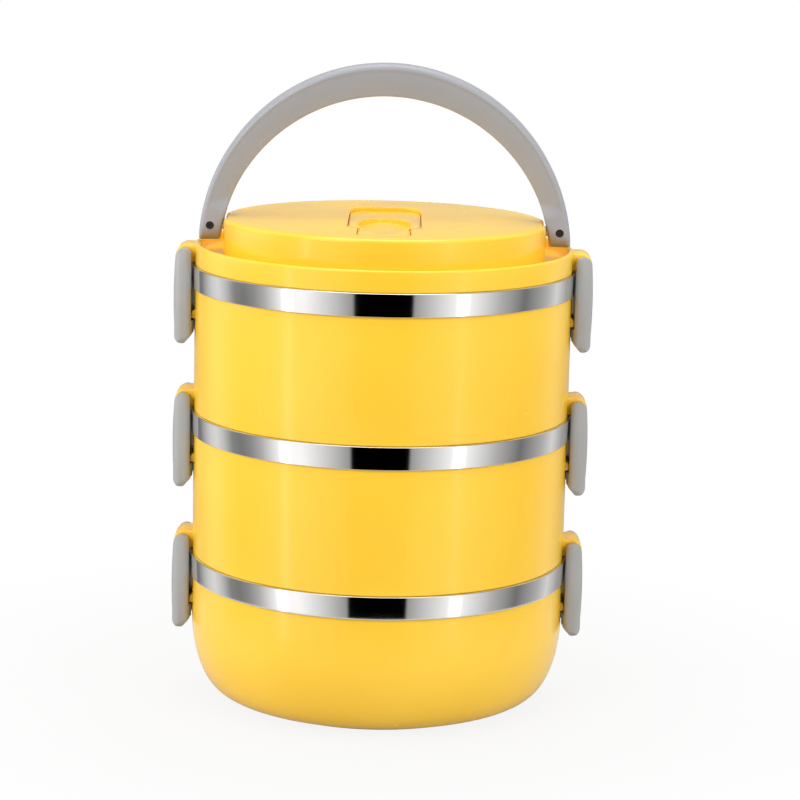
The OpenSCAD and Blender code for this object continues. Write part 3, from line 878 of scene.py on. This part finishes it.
class Shading:
    """The node tree of a material or a world."""

    def __init__(self, owner):
        owner.use_nodes = True
        self.owner, self.tree = owner, owner.node_tree

    def node(self, kind, settings, *values, **named):
        """Make a node, set it, fill its sockets in order or by name, and return its first output."""
        made = self.tree.nodes.new(kind)
        for key, value in settings.items():
            if key == "stops":
                set_stops(made.color_ramp, value)
            else:
                setattr(made, key, value)
        sockets = list(zip([s for s in made.inputs if s.enabled], values))
        sockets += [(made.inputs[key.replace("_", " ")], value) for key, value in named.items()]
        for socket, value in sockets:
            if isinstance(value, Line):
                self.tree.links.new(value.socket, socket)
            else:
                socket.default_value = value
        outputs = [out for out in made.outputs if out.enabled]
        return Line(self, outputs[0]) if outputs else None

    def maths(self, operation, *values, clamp=False):
        return self.node("ShaderNodeMath", {"operation": operation, "use_clamp": clamp}, *values)

    def object_place(self):
        """Where a point is on its own object, in metres."""
        return self.node("ShaderNodeTexCoord", {}).output("Object")

    def along(self, axes):
        """The same place as one number for each axis named."""
        split = self.node("ShaderNodeSeparateXYZ", {}, self.object_place())
        return [split.output(axis) for axis in axes]


class Finish(Shading):
    """A material with one shader; constants are set on its sockets, and what varies is linked."""

    def __init__(self, name, **constants):
        super().__init__(bpy.data.materials.new(name))
        self.shader = self.tree.nodes["Principled BSDF"]
        for socket, value in constants.items():
            self.shader.inputs[socket.replace("_", " ")].default_value = value
        self.place = self.object_place()

    def noise(self, scale, detail=2, rough=0.5, stretch=(1, 1, 1), centre=(0, 0, 0)):
        place = self.node("ShaderNodeMapping", {}, self.place, Location=centre, Scale=stretch)
        return self.node("ShaderNodeTexNoise", {}, Vector=place, Scale=scale, Detail=detail, Roughness=rough)

    def between(self, low, high, value):
        """0 below low, 1 above high, and a smooth rise from one to the other."""
        return self.node("ShaderNodeMapRange", {"interpolation_type": "SMOOTHSTEP"}, value, low, high)

    def tint(self, share, first, second):
        """A colour between two others."""
        return self.node("ShaderNodeMix", {"data_type": "RGBA"}, share, first, second)

    def bump(self, height, depth):
        """Relief whose full height is depth metres."""
        return self.node("ShaderNodeBump", {}, Strength=1, Distance=depth, Height=height)

    def link(self, **lines):
        for socket, line in lines.items():
            self.tree.links.new(line.socket, self.shader.inputs[socket.replace("_", " ")])
        print("finish:", self.owner.name, len(self.tree.nodes), "nodes")
        return self.owner

# %% [markdown]
# ## Yellow plastic
# Glossy polypropylene, coloured right through. The gloss of a moulding is never even: it has a
# faint orange peel, hand smudges that dull it in patches, hair-fine scratches, and a foot that is
# scuffed where it slides on tables.

# %% Make the yellow plastic
def hairlines(finish, scale, stretch, centre, low=0.70, high=0.76):
    """Sparse thin scratches, from the ridges of a stretched noise."""
    field = finish.noise(scale, 3, 0.6, stretch, centre)
    return finish.between(low, high, field)


YELLOW = (0.98, 0.605, 0.043, 1)
YELLOW_DEEP = (0.965, 0.575, 0.034, 1)
YELLOW_WORN = (0.98, 0.70, 0.16, 1)
plastic = Finish("glossy_yellow", IOR=1.48, Coat_Roughness=0.12)
cloud = plastic.noise(14, 2, 0.5)
smudge = plastic.between(0.48, 0.72, plastic.noise(34, 4, 0.62, centre=(3, 1, 7)))
peel = plastic.noise(620, 1, 0.4)
scratch = hairlines(plastic, 160, (1, 1, 0.12), (5, 2, 9)) + hairlines(plastic, 150, (0.15, 1, 1), (1, 8, 4))
height = plastic.along("Z")[0]
foot_wear = (1 - plastic.between(0.0, 0.0022, height)) * plastic.noise(420, 3, 0.7)
tone = plastic.tint(plastic.between(0.35, 0.7, cloud), YELLOW_DEEP, YELLOW)
worn = (foot_wear * 0.9 + scratch * 0.05).clamped()
yellow_plastic = plastic.link(
    Base_Color=plastic.tint(worn, tone, YELLOW_WORN),
    Roughness=(0.19 + 0.07 * smudge + 0.12 * scratch + 0.35 * foot_wear).clamped(),
    Coat_Weight=(0.12 - 0.08 * smudge).clamped(),
    Normal=plastic.bump(peel + 0.25 * scratch, 0.000012))

# %% [markdown]
# ## Polished steel
# The bowls are spun and then polished, which leaves very fine lines round the axis. They only
# show as a slight drag in the reflections, so they sit in the bump and in the roughness.
# Squeezing x and y together and stretching z makes noise into rings.

# %% Make the polished steel and the pin steel
STEEL = (0.80, 0.795, 0.785, 1)
STEEL_DULL = (0.70, 0.69, 0.675, 1)
polish = Finish("polished_bowl_steel", Metallic=1.0)
rings = polish.noise(1, 4, 0.65, (4, 4, 2600))
haze = polish.between(0.45, 0.8, polish.noise(40, 3, 0.6, centre=(2, 6, 1)))
wipe = hairlines(polish, 210, (0.1, 1, 1), (7, 3, 5), 0.72, 0.78)
polished_steel = polish.link(
    Base_Color=polish.tint((0.35 * haze + 0.3 * rings).clamped(), STEEL, STEEL_DULL),
    Roughness=(0.045 + 0.03 * rings + 0.03 * haze + 0.06 * wipe).clamped(),
    Normal=polish.bump(rings + 0.3 * wipe, 0.0000012))

drawn = Finish("drawn_pin_steel", Metallic=1.0)
draw_lines = drawn.noise(1, 4, 0.7, (3000, 40, 3000))
pin_steel = drawn.link(
    Base_Color=drawn.tint(draw_lines, (0.66, 0.66, 0.65, 1), (0.5, 0.5, 0.5, 1)),
    Roughness=(0.2 + 0.18 * draw_lines).clamped(),
    Normal=drawn.bump(draw_lines, 0.000004))

# %% [markdown]
# ## Grey plastic, silicone and the dark screws
# The handle and the latches are moulded in grey with a fine satin texture, which breaks a
# highlight into a soft patch, and where hands rub them the texture wears smooth. The latches'
# grey is the handle's plastic painted lighter and warmer. This is painted light, standing in for the
# brighter side light on them and the yellow light bounced onto them. One function makes both.
# Silicone is milky, and the screws are blackened steel.

# %% Make the two greys, the silicone and the screw finish
def satin_plastic(name, light, dark):
    satin = Finish(name, IOR=1.5)
    grain = satin.noise(2600, 2, 0.6)
    mottle = satin.noise(60, 3, 0.55, centre=(4, 4, 2))
    rubbed = satin.between(0.55, 0.78, satin.noise(46, 3, 0.6, centre=(9, 1, 3)))
    nick = hairlines(satin, 240, (1, 0.2, 1), (2, 5, 8), 0.72, 0.77)
    return satin.link(
        Base_Color=satin.tint((mottle * 0.8 + nick * 0.2).clamped(), dark, light),
        Roughness=(0.40 + 0.06 * grain - 0.09 * rubbed + 0.08 * nick).clamped(),
        Normal=satin.bump(grain + 0.2 * nick, 0.000014))


handle_grey = satin_plastic("satin_handle_grey", (0.34, 0.345, 0.372, 1), (0.305, 0.31, 0.337, 1))
# The latch grey is a lit copy of the handle grey: its lighter, warmer colour is painted light from the side
# and painted yellow bounce.
latch_grey_painted_lighter = satin_plastic("satin_latch_grey", (0.385, 0.383, 0.375, 1), (0.35, 0.348, 0.34, 1))

rubber = Finish("milky_silicone", IOR=1.41, Subsurface_Weight=0.15, Subsurface_Scale=0.002)
dust = rubber.noise(300, 4, 0.6)
silicone = rubber.link(
    Base_Color=rubber.tint(dust, (0.80, 0.79, 0.74, 1), (0.74, 0.73, 0.68, 1)),
    Roughness=(0.38 + 0.15 * dust).clamped(),
    Normal=rubber.bump(dust, 0.00001))

black = Finish("blackened_steel", Metallic=0.6)
oxide = black.noise(1800, 4, 0.7)
dark_screw = black.link(
    Base_Color=black.tint(oxide, (0.018, 0.018, 0.019, 1), (0.05, 0.048, 0.046, 1)),
    Roughness=(0.34 + 0.2 * oxide).clamped(),
    Normal=black.bump(oxide, 0.00001))

# %% [markdown]
# ## Give each piece its finish
# A new piece takes the material of its slot, and so does each construction node that stays in
# view: the inner plate of the lid, the gaskets and the pins.

# %% Assign the finishes
FINISHES = {"yellow_plastic": yellow_plastic, "polished_steel": polished_steel, "grey_plastic": latch_grey_painted_lighter,
            "silicone": silicone, "pin_steel": pin_steel, "dark_screw": dark_screw}


def paint(obj, material):
    obj.data.materials.clear()
    obj.data.materials.append(material)


for piece, slot in FITTED.items():
    paint(bpy.data.objects[piece], FINISHES[slot])
paint(arch, handle_grey)
kept = [part for part in frame["record"]["subparts"] if part["node"] not in REPLACED]
for part in kept:
    paint(bpy.data.objects[part["node"]], FINISHES[part["material_slot"]])
print("finished:", len(FITTED), "new pieces and", [part["node"] for part in kept])

# %% [markdown]
# ## Floor and backdrop
# The object stands on a plain white floor that runs to a white world. The camera sees both as
# white whatever the lamps do, and near the object the floor shows a part of the shadow.
# Reflections see the world as white too, but only a part of that white in the floor, so that the
# underside of each band isn't washed out.

# %% Lay the floor and set the world
WHITE = (1, 1, 1, 1)
MID_GREY = (0.5, 0.5, 0.5, 1)
FLOOR_SIZE = 6
FLOOR_Z = -0.0001
GLOSSY_SHARE = 0.2
SHADOW_REACH = (0.1, 0.24)
FLOOR_WHITE = (0.88, 1.0)
SKY_LIGHT = 0.5


def staged(name, add, **settings):
    """A part of the studio, which isn't part of the object."""
    obj = begin(add, name, **settings)
    only(obj)
    return obj


def bare(owner):
    """The shading of a material or world with no nodes in it yet."""
    shading = Shading(owner)
    shading.tree.nodes.clear()
    return shading


def rays(shading):
    """1 where the camera looks at a surface itself, and 1 where a reflection does."""
    path = shading.node("ShaderNodeLightPath", {})
    return path.output("Is Camera Ray"), path.output("Is Glossy Ray")


paper = bare(bpy.data.materials.new("floor_white"))
by_camera, by_gloss = rays(paper)
away = paper.node("ShaderNodeVectorMath", {"operation": "LENGTH"}, paper.object_place())
fade = paper.node("ShaderNodeMapRange", {}, away, *SHADOW_REACH, *FLOOR_WHITE)
matte = paper.node("ShaderNodeBsdfDiffuse", {}, Color=MID_GREY)
glow = paper.node("ShaderNodeEmission", {})
shown = paper.node("ShaderNodeMixShader", {}, (GLOSSY_SHARE * by_gloss + by_camera) * fade, matte, glow)
paper.node("ShaderNodeOutputMaterial", {}, Surface=shown)
floor = staged("white_floor", bpy.ops.mesh.primitive_plane_add, size=FLOOR_SIZE, location=(0, 0, FLOOR_Z))
paint(floor, paper.owner)

room = bare(bpy.data.worlds.new("white_room"))
bpy.context.scene.world = room.owner
by_camera, by_gloss = rays(room)
soft = room.node("ShaderNodeBackground", {}, Color=WHITE, Strength=SKY_LIGHT)
white = room.node("ShaderNodeBackground", {}, Color=WHITE)
shown = room.node("ShaderNodeMixShader", {}, room.maths("MAXIMUM", by_camera, by_gloss), soft, white)
room.node("ShaderNodeOutputWorld", {}, Surface=shown)
print("floor nodes:", len(paper.tree.nodes), "world nodes:", len(room.tree.nodes))

# %% [markdown]
# ## A light tent for the reflections
# Polished steel shows the room, so the studio sets up a round tent: white cloth panels that fade
# into grey ones, two narrow bright strips, and a black card in front of the object. Only
# reflections see it. Its brightness is painted by the angle from the front, on the tent's own
# coordinates: each pair below is an angle in degrees and a level.

# %% Build the tent
TENT = ((-180, 0.36), (-152, 0.36), (-119, 0.17), (-112, 0.38), (-104, 0.61), (-97, 0.70), (-90, 0.53),
        (-82, 0.23), (-75, 0.19), (-68, 0.26), (-61, 0.43), (-54, 0.75), (-49.5, 1.0), (-48.4, 2.8),
        (-46, 2.8), (-44.9, 1.02), (-38, 1.0), (-27, 0.69), (-13.5, 0.30), (-12.9, 0.0), (14.2, 0.0),
        (14.8, 0.31), (36, 0.93), (38.5, 1.7), (40.5, 1.7), (43, 0.93), (61, 0.43), (77, 0.16), (96, 0.42),
        (107, 0.66), (126, 0.25), (152, 0.36))
BRIGHTEST = 4
TENT_GAIN = 1.22
TENT_R = 0.2
TENT_H = 0.62
tent = staged("light_tent", bpy.ops.mesh.primitive_cylinder_add, vertices=128, radius=TENT_R, depth=TENT_H,
              end_fill_type="NOTHING", location=(0, 0, TENT_H / 2))
bpy.ops.object.transform_apply(location=True, rotation=True, scale=True)
tent.visible_camera = tent.visible_diffuse = tent.visible_shadow = tent.visible_transmission = False
cloth = bare(bpy.data.materials.new("tent_cloth"))
x, y = cloth.along("XY")
around = (cloth.maths("ARCTAN2", x, -1 * y) + math.pi) / math.tau
stops = [(0.5 + degrees / 360, (level / BRIGHTEST,) * 3 + (1,)) for degrees, level in TENT]
panels = cloth.node("ShaderNodeValToRGB", {"stops": stops}, around)
glow = cloth.node("ShaderNodeEmission", {}, Color=panels, Strength=TENT_GAIN * BRIGHTEST)
cloth.node("ShaderNodeOutputMaterial", {}, Surface=glow)
paint(tent, cloth.owner)
print("tent stops:", len(TENT))

# %% [markdown]
# ## Lamps
# Large soft boxes stand high at the front left and the front right, and one hangs overhead. A
# smaller one stands low at each side, the left one brighter, and one fills in from behind. Their
# size keeps the shadows soft, and the level is where a colour comes out about as it is written.

# %% Hang the lamps
LAMP_AIM = Vector((0, 0, 0.11))


def lamp(name, place, size, watts):
    """A square soft box at a place, turned to the middle of the object."""
    light = bpy.data.lights.new(name, "AREA")
    light.size = size
    light.energy = watts
    holder = bpy.data.objects.new(name, light)
    bpy.context.collection.objects.link(holder)
    holder.location = place
    holder.rotation_euler = (LAMP_AIM - Vector(place)).to_track_quat("-Z", "Y").to_euler()
    return holder


lamp("key_left", (-0.9, -1.1, 0.95), 0.9, 11.4)
lamp("fill_right", (1.1, -0.9, 0.8), 0.9, 10.4)
lamp("overhead", (0, 0.1, 1.5), 1.0, 11)
lamp("side_left", (-1.4, 0.1, 0.4), 0.6, 8)
lamp("side_right", (1.4, 0.1, 0.4), 0.6, 2)
lamp("back_fill", (0.3, 1.3, 1.0), 0.8, 6)

# %% [markdown]
# ## Camera
# A long lens from a little above the middle, turned by about a degree, because the stack doesn't
# hang quite straight.

# %% Set the camera
TARGET = Vector((0.0075, 0, 0.119))
DISTANCE = 1.06246
RISE = math.radians(10.89)
ROLL = math.radians(1.36)
SENSOR = 36
FOCAL = 120.609
lens = bpy.data.cameras.new("long_lens")
lens.sensor_width = SENSOR
lens.lens = FOCAL
camera = bpy.data.objects.new("camera", lens)
bpy.context.collection.objects.link(camera)
forward = Vector((0, math.cos(RISE), -math.sin(RISE)))
right = Vector((1, 0, 0))
up = right.cross(forward)
turned_right = right * math.cos(ROLL) + up * math.sin(ROLL)
turned_up = up * math.cos(ROLL) - right * math.sin(ROLL)
pose = Matrix((turned_right, turned_up, -forward)).transposed().to_4x4()
pose.translation = TARGET - forward * DISTANCE
camera.matrix_world = pose
bpy.context.scene.camera = camera
bpy.context.scene.view_settings.view_transform = "Standard"
print("camera at", [round(v, 3) for v in camera.location])
